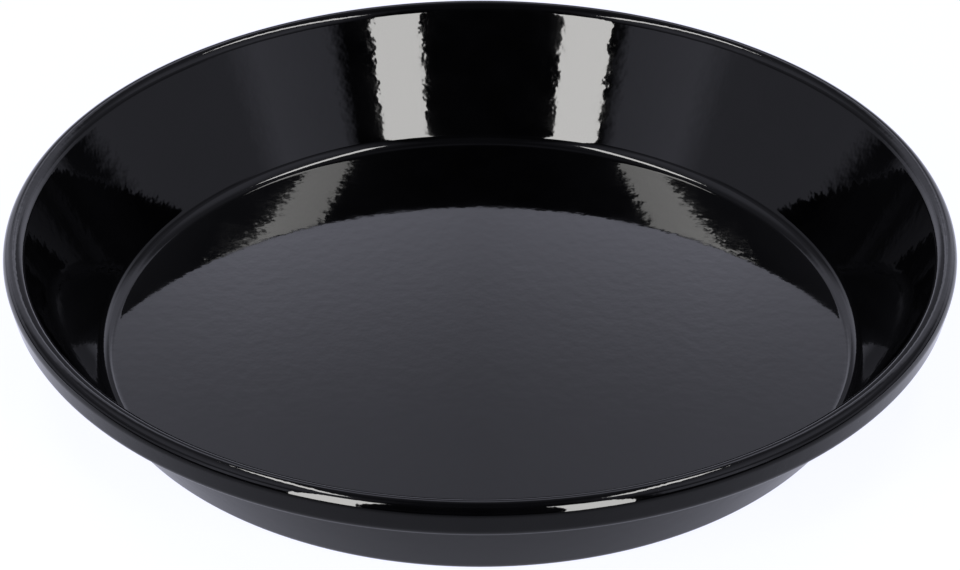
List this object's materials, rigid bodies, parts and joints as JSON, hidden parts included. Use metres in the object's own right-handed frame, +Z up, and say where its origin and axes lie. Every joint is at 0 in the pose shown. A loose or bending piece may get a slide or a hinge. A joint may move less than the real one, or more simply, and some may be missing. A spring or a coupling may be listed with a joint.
{
  "type": "quiche pan",
  "caption": "Round shallow quiche pan of drawn steel with gloss black enamel, a flat floor, a plain flared wall and a rolled rim.",
  "frame": {"origin": "middle of the flat underside, at the level that the pan stands on", "axes": "+Z up along the pan's axis, towards the open top; X and Y lie across the pan, which is the same all round"},
  "size_m": [0.28, 0.28, 0.041],
  "materials": {
    "pressed_steel": "cold rolled sheet, pickled, hidden under enamel",
    "ground_enamel": "dark satin ground coat, hidden under the cover coat",
    "black_cover_enamel": "gloss black glass enamel with fine orange peel"
  },
  "bodies": {
    "root": {"pressed_steel_pan": "pressed_steel", "ground_enamel_inside": "ground_enamel", "ground_enamel_outside": "ground_enamel", "cover_enamel_inside": "black_cover_enamel", "cover_enamel_outside": "black_cover_enamel"}
  },
  "joints": []
}
